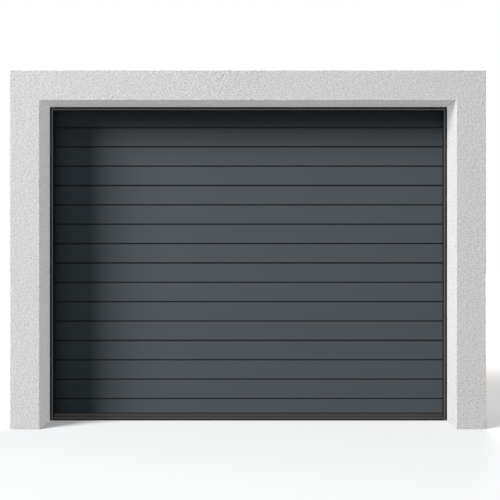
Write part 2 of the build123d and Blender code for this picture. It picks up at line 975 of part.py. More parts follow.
with BuildPart() as mid_plate:
    bearing_plate(-plate / 2, 0, mid_foot_width)
save(mid_plate, "centre_bearing_plate")

cable_foot = hook_z + hook_radius + seal_gap
with BuildPart() as cable:
    with BuildSketch(Plane.XY.offset(cable_foot)):
        with Locations((cable_x, cable_y)):
            Circle(cable_radius)
    extrude(amount=shaft_z - cable_foot)
save_both_sides(cable, "lift_cables")

top_lift = bend_start - top_joint_z - hook_radius
print("tilt_per_lift rad/m", tilt_per_lift * 1000)
print("pin", pin_y, top_joint_z, "level lift", level_lift, "level z", level_z)
print("lift range", top_lift, "tilt at it", degrees(tilt_per_lift * top_lift))
print("cable foot", cable_foot, "top", shaft_z, "wall ends", wall_half, "wall top", wall_top)
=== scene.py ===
# %% [markdown]
# A sectional garage door in a plastered wall portal.
# The construction comes in as a fixed frame: walls, door sections, tracks and fittings at their
# real size, in metres. This lesson gives every surface its finish, replaces the few pieces that
# look better as fine meshes, and sets up light and camera.

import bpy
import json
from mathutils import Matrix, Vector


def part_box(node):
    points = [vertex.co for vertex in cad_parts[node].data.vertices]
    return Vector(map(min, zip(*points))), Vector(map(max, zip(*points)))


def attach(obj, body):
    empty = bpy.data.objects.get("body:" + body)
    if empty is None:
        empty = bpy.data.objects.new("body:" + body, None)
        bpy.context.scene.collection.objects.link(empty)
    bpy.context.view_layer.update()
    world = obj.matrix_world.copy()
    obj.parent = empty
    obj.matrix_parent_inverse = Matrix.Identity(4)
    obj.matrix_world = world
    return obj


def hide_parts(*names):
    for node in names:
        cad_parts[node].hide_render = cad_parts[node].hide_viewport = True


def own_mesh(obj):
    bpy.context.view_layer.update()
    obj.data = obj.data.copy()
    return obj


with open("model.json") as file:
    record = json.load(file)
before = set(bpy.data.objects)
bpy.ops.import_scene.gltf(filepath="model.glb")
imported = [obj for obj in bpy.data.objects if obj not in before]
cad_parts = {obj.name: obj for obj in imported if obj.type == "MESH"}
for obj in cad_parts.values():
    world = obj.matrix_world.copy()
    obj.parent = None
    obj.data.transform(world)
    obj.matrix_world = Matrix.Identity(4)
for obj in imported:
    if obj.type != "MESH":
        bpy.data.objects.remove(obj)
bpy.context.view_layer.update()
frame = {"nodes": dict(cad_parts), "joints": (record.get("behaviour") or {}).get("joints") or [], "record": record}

# %% [markdown]
# Modules. New meshes are built in bmesh, Blender's mesh editor, from vectors and a little
# trigonometry. mathutils also brings a noise, which makes the plaster wavy.

# %% Modules
import json
import math

import bmesh
import bpy
from mathutils import Vector, noise

scene = bpy.context.scene
nodes = frame["nodes"]
print(len(nodes), "construction pieces")

# %% [markdown]
# Shader maths reads best as plain expressions. A small class wraps one socket of a node tree,
# so that `1 - mask * 0.3` adds the Math nodes by itself.


# %% Sockets as values
class Value:
    """One output socket; sums, products and tests of values add Math nodes."""

    def __init__(self, shader, socket):
        self.shader = shader
        self.socket = socket

    def maths(self, operation, first, second=0.0):
        return self.shader.add("ShaderNodeMath", {"operation": operation}, {0: first, 1: second})

    def __add__(self, other):
        return self.maths("ADD", self, other)

    def __radd__(self, other):
        return self.maths("ADD", other, self)

    def __sub__(self, other):
        return self.maths("SUBTRACT", self, other)

    def __rsub__(self, other):
        return self.maths("SUBTRACT", other, self)

    def __mul__(self, other):
        return self.maths("MULTIPLY", self, other)

    def __rmul__(self, other):
        return self.maths("MULTIPLY", other, self)

    def __gt__(self, other):
        return self.maths("GREATER_THAN", self, other)

    def __lt__(self, other):
        return self.maths("LESS_THAN", self, other)

    def __abs__(self):
        return self.maths("ABSOLUTE", self)

    def at_least(self, other):
        return self.maths("MAXIMUM", self, other)


print("values know", [name.strip("_") for name in vars(Value) if callable(getattr(Value, name))])

# %% [markdown]
# Everything that isn't arithmetic on numbers goes through one method, `add`, which takes a
# node's type, its settings and its inputs. The other methods are short names for the nodes that
# most finishes need: the place on the object, noise, a mix of two colours, a soft step.


# %% Shaders
class Shader:
    """The shader of a new material or world, and the nodes that feed it."""

    def __init__(self, owner, surface="Principled BSDF"):
        owner.use_nodes = True
        self.owner = owner
        self.tree = owner.node_tree
        self.surface = self.tree.nodes[surface]

    def add(self, kind, settings=None, inputs=None, output=0):
        node = self.tree.nodes.new(kind)
        for key, value in (settings or {}).items():
            setattr(node, key, value)
        for key, value in (inputs or {}).items():
            self.feed(node.inputs[key], value)
        return Value(self, node.outputs[output])

    def feed(self, socket, value):
        if isinstance(value, Value):
            self.tree.links.new(value.socket, socket)
        else:
            socket.default_value = value

    def set(self, **inputs):
        for key, value in inputs.items():
            self.feed(self.surface.inputs[key.replace("_", " ").title()], value)

    def gloss(self, level):
        """How strongly the surface mirrors what lies in front of it, the same all over."""
        self.surface.inputs["Specular IOR Level"].default_value = level

    def place(self):
        """Position on the object, in metres; the same in every view and pose."""
        return self.add("ShaderNodeTexCoord", output=3)

    def axis(self, vector, which):
        return self.add("ShaderNodeSeparateXYZ", inputs={0: vector}, output="XYZ".index(which))

    def noise(self, vector, size, detail=2.0, roughness=0.5):
        """Noise whose lumps are about `size` metres wide."""
        inputs = {"Vector": vector, "Scale": 1 / size, "Detail": detail, "Roughness": roughness}
        return self.add("ShaderNodeTexNoise", inputs=inputs)

    def mix(self, factor, first, second):
        inputs = {0: factor, 6: first, 7: second}
        return self.add("ShaderNodeMix", {"data_type": "RGBA"}, inputs, output=2)

    def band(self, value, low, high):
        """1 between low and high, 0 outside."""
        return (value > low) * (value < high)

    def ease(self, value, low, high):
        """0 below low, 1 above high, smooth between."""
        inputs = {"Value": value, "From Min": low, "From Max": high}
        return self.add("ShaderNodeMapRange", {"interpolation_type": "SMOOTHSTEP"}, inputs)

    def seen_directly(self):
        """1 for rays that show a thing to the camera, straight, in a mirror or through glass."""
        kinds = ("Is Camera Ray", "Is Glossy Ray", "Is Transmission Ray")
        camera, glossy, transmission = (self.add("ShaderNodeLightPath", output=kind) for kind in kinds)
        return camera.at_least(glossy).at_least(transmission)

    def bump(self, height, depth):
        """Normal for a relief of `depth` metres between height 0 and 1."""
        return self.add("ShaderNodeBump", inputs={"Height": height, "Distance": depth})


def grey(level):
    return (level, level, level, 1.0)


print("shader helpers ready")

# %% [markdown]
# Plaster. The wall is finished with a mineral scratch render: light grey, fully matt, with
# grains a few millimetres wide, rubbed slantwise by the float, and faint clouds from uneven
# drying. Three noises give the relief: grains stretched along the rubbing, finer grains and
# sand. The colour follows the grains: the hollow between grains is painted darker, as shade.

# %% Plaster finish
PLASTER = (0.785, 0.775, 0.770, 1.0)
PLASTER_PIT_SHADE = (0.50, 0.495, 0.49, 1.0)
GRAIN = 0.0096
FINE_GRAIN = 0.0050
SAND = 0.0022
CLOUD = 0.45
COARSE_SHARE = 0.7
SAND_SHARE = 0.35
PIT_RANGE = (0.36, 0.60)
PIT_SHADE = 0.74
CLOUD_SHADE = 0.10
RELIEF_DEPTH = 0.0050
RUBBING_ANGLE = math.radians(27)
RUBBING_STRETCH = (1.6, 1.0, 0.60)


def make_plaster():
    shader = Shader(bpy.data.materials.new("plaster"))
    where = shader.place()
    tilted = {"Vector": where, "Rotation": (0.0, RUBBING_ANGLE, 0.0), "Scale": RUBBING_STRETCH}
    rubbed = shader.add("ShaderNodeMapping", {"vector_type": "TEXTURE"}, tilted)
    coarse = shader.noise(rubbed, GRAIN, 1.0, 0.5)
    fine = shader.noise(where, FINE_GRAIN, 2.0, 0.6)
    sand = shader.noise(where, SAND, 2.0)
    cloud = shader.noise(where, CLOUD, 2.0)
    relief = coarse * COARSE_SHARE + fine * (1 - COARSE_SHARE)
    # Painted shade: the hollows between the grains are darker.
    painted_pit_shade = 1 - shader.ease(relief, *PIT_RANGE)
    shade = painted_pit_shade * PIT_SHADE + (cloud - 0.5) * CLOUD_SHADE
    shader.set(
        base_color=shader.mix(shade.at_least(0.0), PLASTER, PLASTER_PIT_SHADE),
        roughness=0.92,
        normal=shader.bump(relief + sand * SAND_SHARE, RELIEF_DEPTH),
    )
    shader.gloss(0.15)
    return shader.owner


plaster = make_plaster()
print("plaster:", len(plaster.node_tree.nodes), "nodes")

# %% [markdown]
# Galvanised steel. Hot-dip zinc freezes in flat crystals, the spangle. Each crystal has its own
# grey and its own gloss, so a Voronoi texture's cell colours drive both. The same spangle is
# needed on the hidden side of the frame and on the end caps of the sections, so it has a
# function of its own. The other bare metals use it too, with crystals too small to tell apart.

# %% Galvanised steel
ZINC = (0.42, 0.43, 0.44)
ZINC_SPANGLE = 0.009
ZINC_SPREAD = 0.22
CAST_ALUMINIUM = (0.50, 0.50, 0.51)
OILED_STEEL = (0.10, 0.10, 0.105)
ROPE_STEEL = (0.30, 0.30, 0.30)
METALLIC = 0.85
DULL_PATCH = 0.05
CRYSTAL_SHARE = 0.7
SMOOTHEST = 0.38
ROUGHNESS_SPREAD = 0.16


def spangle(shader, where, base, size, spread):
    """Colour and roughness of crystals about `size` metres wide."""
    cells = shader.add("ShaderNodeTexVoronoi", inputs={"Vector": where, "Scale": 1 / size}, output=1)
    patches = shader.noise(where, DULL_PATCH, 3.0)
    shade = shader.axis(cells, "X") * CRYSTAL_SHARE + patches * (1 - CRYSTAL_SHARE)
    dark, light = (tuple(level * share for level in base) + (1.0,) for share in (1 - spread, 1 + spread))
    return shader.mix(shade, dark, light), SMOOTHEST + shade * ROUGHNESS_SPREAD


def make_metal(name, base, size, spread):
    shader = Shader(bpy.data.materials.new(name))
    where = shader.place()
    colour, roughness = spangle(shader, where, base, size, spread)
    shader.set(
        base_color=colour,
        metallic=METALLIC,
        roughness=roughness,
        normal=shader.bump(shader.noise(where, DULL_PATCH, 3.0), 0.0002),
    )
    return shader.owner


zinc = make_metal("galvanised_steel", ZINC, ZINC_SPANGLE, ZINC_SPREAD)
cast = make_metal("cast_aluminium", CAST_ALUMINIUM, size=0.0025, spread=0.08)
oiled = make_metal("spring_steel", OILED_STEEL, size=0.003, spread=0.25)
rope_steel = make_metal("wire_rope", ROPE_STEEL, size=0.002, spread=0.2)
print("four metals")

# %% [markdown]
# Door coat. The sections are coil-coated steel in anthracite, satin and very even. Only a
# faint orange peel and slow changes in gloss tell it from flat colour. Seen from the garage the
# sheets carry their light primer coat with a fine stucco embossing, and each section is closed
# at both ends by a galvanised cap that also holds the hinges. So the finish follows the place:
# the coat outside, painted darker inside each groove as shade, the primer on the inner sheet,
# zinc at the ends.

# %% Door coat
COAT = (0.080, 0.089, 0.097, 1.0)
COAT_GROOVE_SHADE = (0.032, 0.036, 0.040, 1.0)
PRIMER = (0.56, 0.565, 0.55, 1.0)
PEEL = 0.004
STUCCO = 0.006
GLOSS_CHANGE = 0.30
GROOVE_STARTS = 0.002
GROOVE_IS_DEEP = 0.006
CAP_WIDTH = 0.095
CAP_SEAM = 0.0015
CAP_SEAM_SHADE = 0.03
COAT_ROUGHNESS = 0.42
section_low, section_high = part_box("section_2")
outer_y, inner_y = section_low.y, section_high.y
sheets_meet = (outer_y + inner_y) / 2
cap_edge = section_high.x - CAP_WIDTH


def make_door_coat():
    shader = Shader(bpy.data.materials.new("door_coat"))
    where = shader.place()
    across = abs(shader.axis(where, "X"))
    depth = shader.axis(where, "Y")
    peel = shader.noise(where, PEEL, 1.0)
    slow = shader.noise(where, GLOSS_CHANGE, 2.0)
    # Painted shade: the coat gets darker inside each groove.
    painted_groove_shade = shader.ease(depth, outer_y + GROOVE_STARTS, outer_y + GROOVE_IS_DEEP)
    outside = shader.mix(painted_groove_shade, COAT, COAT_GROOVE_SHADE)
    stucco = shader.noise(where, STUCCO, 1.0)
    inner = depth > sheets_meet
    cap = (across > cap_edge) * inner
    seam = shader.band(across, cap_edge - CAP_SEAM, cap_edge) * inner
    zinc_colour, zinc_roughness = spangle(shader, where, ZINC, ZINC_SPANGLE, ZINC_SPREAD)
    sheet = shader.mix(inner, outside, PRIMER)
    sheet_roughness = COAT_ROUGHNESS + (slow - 0.5) * 0.10 + (peel - 0.5) * 0.05
    shader.set(
        base_color=shader.mix(seam, shader.mix(cap, sheet, zinc_colour), grey(CAP_SEAM_SHADE)),
        metallic=cap * METALLIC,
        roughness=sheet_roughness + cap * (zinc_roughness - sheet_roughness),
        normal=shader.bump(peel * 0.12 + stucco * inner * (1 - cap) + cap, 0.0008),
    )
    shader.gloss(0.08)
    return shader.owner


door_coat = make_door_coat()
print("sections lie between y", round(outer_y, 4), "and", round(inner_y, 4))

# %% [markdown]
# Frame coat. The strip round the curtain is the folded steel frame, coated dark grey. Its shadow
# groove, its return towards the curtain and a thin edge each side of the strip are painted near
# black as shade, which sets the door off from the wall as two fine dark lines. Inside the garage
# the same sheet is left bare, in zinc.

# %% Frame coat
FRAME_COAT = (0.070, 0.067, 0.064, 1.0)
FRAME_SHADE_BLACK = (0.003, 0.003, 0.003, 1.0)
STRIP = (0.0008, 0.0105)
STRIP_DEPTH = 0.0018
COATED = 0.0225
COATED_DEPTH = 0.030
FRAME_PEEL = 0.003
FRAME_ROUGHNESS = 0.45
leg_low, leg_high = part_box("frame_leg_right")
clear_half = leg_low.x
clear_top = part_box("frame_header")[0].z


def make_frame_coat():
    shader = Shader(bpy.data.materials.new("frame_coat"))
    where = shader.place()
    across = abs(shader.axis(where, "X"))
    depth = shader.axis(where, "Y")
    height = shader.axis(where, "Z")
    beside = across - clear_half
    above = height - clear_top
    from_edge = beside.at_least(above)
    strip = shader.band(from_edge, *STRIP) * (depth < STRIP_DEPTH)
    hidden = (from_edge > COATED).at_least(depth > COATED_DEPTH)
    peel = shader.noise(where, FRAME_PEEL, 1.0)
    # Painted shade: outside the strip, the groove, the return and the strip's thin edges are near black.
    visible = shader.mix(strip, FRAME_SHADE_BLACK, FRAME_COAT)
    bare_colour, bare_roughness = spangle(shader, where, ZINC, ZINC_SPANGLE, ZINC_SPREAD)
    coat_roughness = FRAME_ROUGHNESS + (peel - 0.5) * 0.06
    shader.set(
        base_color=shader.mix(hidden, visible, bare_colour),
        metallic=hidden * METALLIC,
        roughness=coat_roughness + hidden * (bare_roughness - coat_roughness),
        normal=shader.bump(peel, 0.0002),
    )
    shader.gloss(0.12)
    return shader.owner


frame_coat = make_frame_coat()
print("clear opening", round(2 * clear_half, 3), "by", round(clear_top, 3))

# %% [markdown]
# Rubber and black plastic. Both are nearly black and a little dusty. Rubber is duller, plastic
# has a soft sheen from its mould. Two places where no light gets in are painted quite black, as
# shade: the bevels and the seam between the retainer and the lowest section, and the upright
# front of the threshold.

# %% Rubber and plastic
RUBBER = (0.006, 0.006, 0.006)
BLACK_PLASTIC = (0.030, 0.029, 0.028)
RAMP_PLASTIC = (0.036, 0.035, 0.034)
DUST = 0.02
DUST_SHARE = 0.25
DUST_PATCH = 0.12
SHADE_BLACK = 0.002
BEVEL_DEPTH = 0.002
SEAM_HEIGHT = 0.0368
THRESHOLD_FRONT = 0.003


def make_black(name, tone, roughness, lump, shade_test=None):
    """The last argument is a test on the depth and the height, for places painted black as shade."""
    shader = Shader(bpy.data.materials.new(name))
    where = shader.place()
    grain = shader.noise(where, lump, 2.0)
    dust = shader.ease(shader.noise(where, DUST_PATCH, 3.0), 0.45, 0.8)
    dusty = tuple(level + DUST for level in tone)
    colour = shader.mix(dust * DUST_SHARE, tone + (1.0,), dusty + (1.0,))
    # Painted shade: where the last test holds, the colour is near black.
    if shade_test:
        painted_shade = shade_test(shader.axis(where, "Y"), shader.axis(where, "Z"))
        colour = shader.mix(painted_shade, colour, grey(SHADE_BLACK))
    shader.set(
        base_color=colour,
        roughness=roughness + (grain - 0.5) * 0.12,
        normal=shader.bump(grain, 0.0002),
    )
    shader.gloss(0.2)
    return shader.owner


def seam_and_bevel_shade(depth, height):
    """Painted shade: the bevels and the shadow line where the retainer meets the lowest section."""
    return (depth > outer_y + BEVEL_DEPTH).at_least(height > SEAM_HEIGHT)


def in_the_shade(depth, height):
    """Painted shade: the upright front of the threshold strip."""
    return depth < THRESHOLD_FRONT


rubber = make_black("black_rubber", RUBBER, 0.75, lump=0.0012)
black_plastic = make_black("black_plastic", BLACK_PLASTIC, 0.5, lump=0.0018, shade_test=seam_and_bevel_shade)
ramp = make_black("threshold_ramp", RAMP_PLASTIC, 0.6, lump=0.003, shade_test=in_the_shade)
print("three black finishes")

# %% [markdown]
# Nylon. The rollers have white nylon tyres that grey with grease from the track, so a noise
# mixes in worn patches that are darker and duller.

# %% Nylon
NYLON = (0.72, 0.71, 0.67, 1.0)
NYLON_WORN = (0.35, 0.34, 0.32, 1.0)
WORN_PATCH = 0.012


def make_nylon():
    shader = Shader(bpy.data.materials.new("nylon"))
    where = shader.place()
    worn = shader.ease(shader.noise(where, WORN_PATCH, 3.0), 0.5, 0.75)
    shader.set(
        base_color=shader.mix(worn * 0.35, NYLON, NYLON_WORN),
        roughness=0.42 + worn * 0.2,
    )
    return shader.owner


nylon = make_nylon()
print("nylon ready")

# %% [markdown]
# Dressing the construction. Each solid keeps its shape and gets the finish that its record
# names. Only the threshold strip has a plastic of its own.

# %% Finishes on the construction
FINISHES = {
    "plaster": plaster,
    "door_steel": door_coat,
    "frame_steel": frame_coat,
    "black_rubber": rubber,
    "black_plastic": black_plastic,
    "nylon": nylon,
    "galvanised_steel": zinc,
    "spring_steel": oiled,
    "cast_aluminium": cast,
    "wire_rope": rope_steel,
}


def dress(name, material):
    mesh = nodes[name].data
    mesh.materials.clear()
    mesh.materials.append(material)


for row in frame["record"]["subparts"]:
    finish = FINISHES[row["material_slot"]]
    if row["node"] == "threshold_strip":
        finish = ramp
    dress(row["node"], finish)

# %% [markdown]
# The wall as one piece. Piers and lintel are one plastered surface on the real wall, with no
# seam between them, and the mason's float leaves it wavy by a fraction of a millimetre. So one
# mesh stands for the three solids: a grid over the faces of the portal, finer beside the edges,
# pushed inwards a little by noise and rounded at every arris.

# %% Grid lines of the wall
GRID = 0.014
ARRIS = 0.003
ROUNDING = 0.0008
FLOAT_DEPTH = 0.0005
WAVE = 0.035
TOUCHING = 1e-5
left_low, left_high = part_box("wall_pier_left")
right_low, right_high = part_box("wall_pier_right")
lintel_low, lintel_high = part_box("wall_lintel")


def lines(start, end):
    """Grid lines from start to end, with close ones beside both ends."""
    near = (0.0, ARRIS, 2.5 * ARRIS)
    count = max(2, round((end - start - 5 * ARRIS) / GRID))
    first, last = start + near[2], end - near[2]
    inner = [first + (last - first) * step / count for step in range(count + 1)]
    return [start, start + near[1]] + inner + [end - near[1], end]


def joined(*spans):
    """Grid lines of neighbouring spans, each line once."""
    values = []
    for start, end in spans:
        values += lines(start, end)
    return sorted(set(round(value, 6) for value in values))


wall_x = joined((left_low.x, left_high.x), (left_high.x, right_low.x), (right_low.x, right_high.x))
wall_y = joined((left_low.y, left_high.y))
wall_z = joined((left_low.z, lintel_low.z), (lintel_low.z, lintel_high.z))
print("grid lines", len(wall_x), len(wall_y), len(wall_z))

# %% [markdown]
# The skin itself. Each flat face of the portal is one sheet of squares between the grid lines,
# without the squares that lie in the doorway. Neighbouring sheets share the vertices of their
# common edge, so the skin is closed all round.

# %% Skin of the wall


def wall_skin():
    mesh = bmesh.new()
    corners = {}
    left_edge, right_edge, head = left_high.x, right_low.x, lintel_low.z

    def corner(x, y, z):
        key = (round(x, 6), round(y, 6), round(z, 6))
        if key not in corners:
            corners[key] = mesh.verts.new(key)
        return corners[key]

    def masonry(x, z):
        return not (left_edge < x < right_edge and z < head)

    def beside_the_doorway(x, y):
        return not left_edge < x < right_edge

    def everywhere(first, second):
        return True

    def sheet(make, first, second, keep, flip):
        for a, b in zip(first, first[1:]):
            for c, d in zip(second, second[1:]):
                if not keep((a + b) / 2, (c + d) / 2):
                    continue
                ring = [make(a, c), make(b, c), make(b, d), make(a, d)]
                mesh.faces.new([corner(*p) for p in (ring[::-1] if flip else ring)])

    front, back = wall_y[0], wall_y[-1]
    low, high = wall_z[0], wall_z[-1]
    between = [x for x in wall_x if left_edge <= x <= right_edge]
    below = [z for z in wall_z if z <= head]
    sheet(lambda x, z: (x, front, z), wall_x, wall_z, masonry, False)
    sheet(lambda x, z: (x, back, z), wall_x, wall_z, masonry, True)
    sheet(lambda y, z: (wall_x[0], y, z), wall_y, wall_z, everywhere, True)
    sheet(lambda y, z: (wall_x[-1], y, z), wall_y, wall_z, everywhere, False)
    sheet(lambda x, y: (x, y, high), wall_x, wall_y, everywhere, False)
    sheet(lambda x, y: (x, y, low), wall_x, wall_y, beside_the_doorway, True)
    sheet(lambda y, z: (left_edge, y, z), wall_y, below, everywhere, False)
    sheet(lambda y, z: (right_edge, y, z), wall_y, below, everywhere, True)
    sheet(lambda x, y: (x, y, head), between, wall_y, everywhere, True)
    return mesh


def on_edge(vertex):
    """Whether two or more of the wall's planes meet at a vertex."""
    x, y, z = vertex.co
    planes = [
        min(abs(x - edge) for edge in (wall_x[0], left_high.x, right_low.x, wall_x[-1])) < TOUCHING,
        min(abs(y - edge) for edge in (wall_y[0], wall_y[-1])) < TOUCHING,
        min(abs(z - edge) for edge in (lintel_low.z, wall_z[-1])) < TOUCHING,
    ]
    return sum(planes) > 1


def smoothed(vertex):
    """How far the float and the rounding take a vertex inwards."""
    wave = 0.5 + 0.5 * noise.noise(vertex.co / WAVE)
    rounding = ROUNDING if on_edge(vertex) else 0.0
    return -vertex.normal * (FLOAT_DEPTH * wave + rounding)


skin = wall_skin()
skin.normal_update()
moves = [(vertex, smoothed(vertex)) for vertex in skin.verts if vertex.co.z > TOUCHING]
for vertex, move in moves:
    vertex.co += move
wall_mesh = bpy.data.meshes.new("plastered_wall")
skin.to_mesh(wall_mesh)
skin.free()
for face in wall_mesh.polygons:
    face.use_smooth = True
wall_mesh.materials.append(plaster)
wall = bpy.data.objects.new("plastered_wall", wall_mesh)
scene.collection.objects.link(wall)
# Pale plaster would throw its light back on the dark curtain.
wall.visible_diffuse = False
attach(wall, "root")
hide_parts("wall_pier_left", "wall_pier_right", "wall_lintel")
print("wall skin:", len(wall_mesh.polygons), "faces")

# %% [markdown]
# Mesh helpers. Springs, ropes and screws are all made from rings of points: a tube is a row of
# rings along a path, a screw head is a stack of rings. Both are closed at their ends. Each helper
# writes into one bmesh, so many small things become one joined mesh that rides with its body.

# %% Rings and tubes


def bridge(mesh, first, second):
    """Faces between two rings with the same number of vertices."""
    count = len(first)
    for i in range(count):
        j = (i + 1) % count
        mesh.faces.new((first[i], first[j], second[j], second[i]))


def tube(mesh, path, outline):
    """Sweep an outline along a path; outline(step) gives (u, v) points for each step."""
    rings = []
    for step, point in enumerate(path):
        before, after = path[max(step - 1, 0)], path[min(step + 1, len(path) - 1)]
        along = (after - before).normalized()
        side = along.cross(Vector((1, 0, 0)))
        if side.length < 0.2:
            side = along.cross(Vector((0, 1, 0)))
        side.normalize()
        up = side.cross(along)
        rings.append([mesh.verts.new(point + side * u + up * v) for u, v in outline(step)])
    for first, second in zip(rings, rings[1:]):
        bridge(mesh, first, second)
    mesh.faces.new(rings[0][::-1])
    mesh.faces.new(rings[-1])


def circle(radius, sides, turn=0.0):
    """Points (u, v) of a regular outline."""
    angles = [turn + 2 * math.pi * side / sides for side in range(sides)]
    return [(radius * math.cos(angle), radius * math.sin(angle)) for angle in angles]


def stack(mesh, foot, direction, rows, sides, turn=0.0):
    """Closed stack of rings from foot along direction; rows are (radius, height)."""
    direction = Vector(direction).normalized()
    side = direction.orthogonal().normalized()
    up = direction.cross(side)
    rings = []
    for radius, height in rows:
        ring = []
        for u, v in circle(radius, sides, turn):
            ring.append(mesh.verts.new(Vector(foot) + side * u + up * v + direction * height))
        rings.append(ring)
    for first, second in zip(rings, rings[1:]):
        bridge(mesh, first, second)
    mesh.faces.new(rings[0][::-1])
    mesh.faces.new(rings[-1])


print("a hexagon has", len(circle(1.0, 6)), "corners")

# %% [markdown]
# Pieces and places. A finished bmesh becomes an object that says which body it rides on and
# which material slot it has. The places of the small things come from the construction: a node
# that holds several solids is split into their boxes where there is a wide gap between them.

# %% Pieces and clusters


def piece(name, mesh, material, body, smooth=True):
    """Turn a bmesh into an object with its finish, riding on a body."""
    bmesh.ops.recalc_face_normals(mesh, faces=mesh.faces)
    data = bpy.data.meshes.new(name)
    mesh.to_mesh(data)
    mesh.free()
    for face in data.polygons:
        face.use_smooth = smooth
    data.materials.append(material)
    thing = bpy.data.objects.new(name, data)
    scene.collection.objects.link(thing)
    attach(thing, body)
    print(name, len(data.polygons), "faces")
    return thing


def clusters(name, axis, gap):
    """Boxes of the separate solids of a node, split where they lie apart along one axis."""
    points = sorted((vertex.co for vertex in nodes[name].data.vertices), key=lambda co: co[axis])
    groups = [[points[0]]]
    for point in points[1:]:
        if point[axis] - groups[-1][-1][axis] > gap:
            groups.append([])
        groups[-1].append(point)
    boxes = []
    for group in groups:
        low = Vector([min(point[k] for point in group) for k in range(3)])
        high = Vector([max(point[k] for point in group) for k in range(3)])
        boxes.append((low, high))
    return boxes


SIDES_APART = 0.5
HINGES_APART = 0.1
print("cable drums:", len(clusters("cable_drums", 0, SIDES_APART)))
print("hinges along a joint:", len(clusters("low_hinges", 0, HINGES_APART)))

# %% [markdown]
# Torsion springs. On the real shaft each spring is one close-wound coil of oiled steel wire. The
# construction holds its outer and inner size as a tube. Here the coil itself is swept: one turn
# for each wire thickness, with flat ends held by the cones.

# %% Torsion springs
WIRE = 0.007
TURN_STEPS = 28
COIL_GAP = 0.00025
ROUND_SIDES = 8


def coil(name):
    """One turn after another from end to end of the spring's box."""
    low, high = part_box(name)
    axis_y, axis_z = (low.y + high.y) / 2, (low.z + high.z) / 2
    wire_radius = WIRE / 2
    middle = (high.z - low.z) / 2 - wire_radius
    start, end = low.x + wire_radius, high.x - wire_radius
    turns = (end - start) / (WIRE + COIL_GAP)
    steps = round(turns * TURN_STEPS)
    path = []
    for step in range(steps + 1):
        angle = 2 * math.pi * turns * step / steps
        x = start + (end - start) * step / steps
        path.append(Vector((x, axis_y + middle * math.cos(angle), axis_z + middle * math.sin(angle))))
    section = circle(wire_radius, ROUND_SIDES)
    mesh = bmesh.new()
    tube(mesh, path, lambda step: section)
    return mesh


for side in ("left", "right"):
    node = f"torsion_spring_{side}"
    spring = piece(f"spring_coil_{side}", coil(node), oiled, "root")
    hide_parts(node)

# %% [markdown]
# Lift cables. A lift cable is laid from six strands round a core. One tube with a six-lobed
# outline that turns along its length gives the strands and their lay. As the door rises, the drum
# winds the cable in, so the free length shortens towards the drum. Here each cable gets a mesh of
# its own and the share that stays out is worked out, but the tube keeps its full length.

# %% Lift cables
ROPE_RADIUS = 0.002
LAY = 0.026
ROPE_STEP = 0.0035
STRANDS = 6
VALLEY = 0.80
drums = clusters("cable_drums", 0, SIDES_APART)
drum_axis = Vector((0, (drums[0][0].y + drums[0][1].y) / 2, (drums[0][0].z + drums[0][1].z) / 2))
ropes = clusters("lift_cables", 0, SIDES_APART)
lift = next(joint for joint in frame["joints"] if joint["name"] == "door_lift")
lift_travel = lift["range_m"][1]


def rope_outline(travel):
    """Six lobes, turned by how far along the rope the ring lies."""
    turn = 2 * math.pi * travel / LAY
    points = []
    for corner in range(2 * STRANDS):
        angle = turn + math.pi * corner / STRANDS
        radius = ROPE_RADIUS * (1.0 if corner % 2 == 0 else VALLEY)
        points.append((radius * math.cos(angle), radius * math.sin(angle)))
    return points


for name, (low, high) in zip(("lift_cable_left", "lift_cable_right"), ropes):
    x, y = (low.x + high.x) / 2, (low.y + high.y) / 2
    length = high.z - low.z
    steps = round(length / ROPE_STEP)
    path = [Vector((x, y, low.z + length * step / steps)) for step in range(steps + 1)]
    mesh = bmesh.new()
    tube(mesh, path, lambda step: rope_outline(step * length / steps))
    rope = piece(name, mesh, rope_steel, "root")
    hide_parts("lift_cables")
    kept = (length - lift_travel) / length
    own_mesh(rope)

# %% [markdown]
# Cable turns. With the door shut, three turns of each cable stay wound on its drum for safety.
# They start where the free cable leaves the drum, and each lies one groove further out. They are
# too small to show their strands, so they are plain round tubes.

# %% Cable turns on the drums
TURNS = 3
TURN_PITCH = 0.0085
DRUM_STEPS = 44
mesh = bmesh.new()
for (low, high), outward in zip(ropes, (-1, 1)):
    x = (low.x + high.x) / 2
    radius = drum_axis.y - (low.y + high.y) / 2
    path = []
    for step in range(TURNS * DRUM_STEPS + 1):
        turn = step / DRUM_STEPS
        angle = 2 * math.pi * turn
        place = Vector((x + outward * TURN_PITCH * turn, 0, 0)) + drum_axis
        path.append(place + Vector((0, -radius * math.cos(angle), radius * math.sin(angle))))
    section = circle(ROPE_RADIUS, ROUND_SIDES)
    tube(mesh, path, lambda step: section)
piece("cable_turns", mesh, rope_steel, "root")

# %% [markdown]
# Screws and bolts. Every leaf, bracket and foot is held by hexagon-head screws with a pressed
# washer. One helper writes a head, as shares of the screw's radius, and two more set it at the
# places that a hinge leaf or a base plate needs.

# %% Screw heads
SCREW = 0.0065
BOLT = 0.0085
WASHER_THICKNESS = 0.22
WASHER_RIM = ((1.32, 0), (1.32, 0.6), (1.2, 1))
WASHER_SIDES = 14
HEAD_HEIGHT = 0.85
HEAD_RIM = ((1, 0), (1, 0.82), (0.84, 1))
SHEET_LEAF = 0.0025
PLATE = 0.003
LEAF_ROWS = (0.028, 0.058)
LEAF_COLUMN = 0.30


def screw(mesh, foot, direction, radius, turn):
    """Hexagon head on a round washer; both have a chamfered rim."""
    foot = Vector(foot)
    direction = Vector(direction)
    washer = radius * WASHER_THICKNESS
    rows = [(radius * width, washer * height) for width, height in WASHER_RIM]
    stack(mesh, foot, direction, rows, WASHER_SIDES)
    top = radius * HEAD_HEIGHT
    rows = [(radius * width, top * height) for width, height in HEAD_RIM]
    stack(mesh, foot + direction * washer, direction, rows, 6, turn)


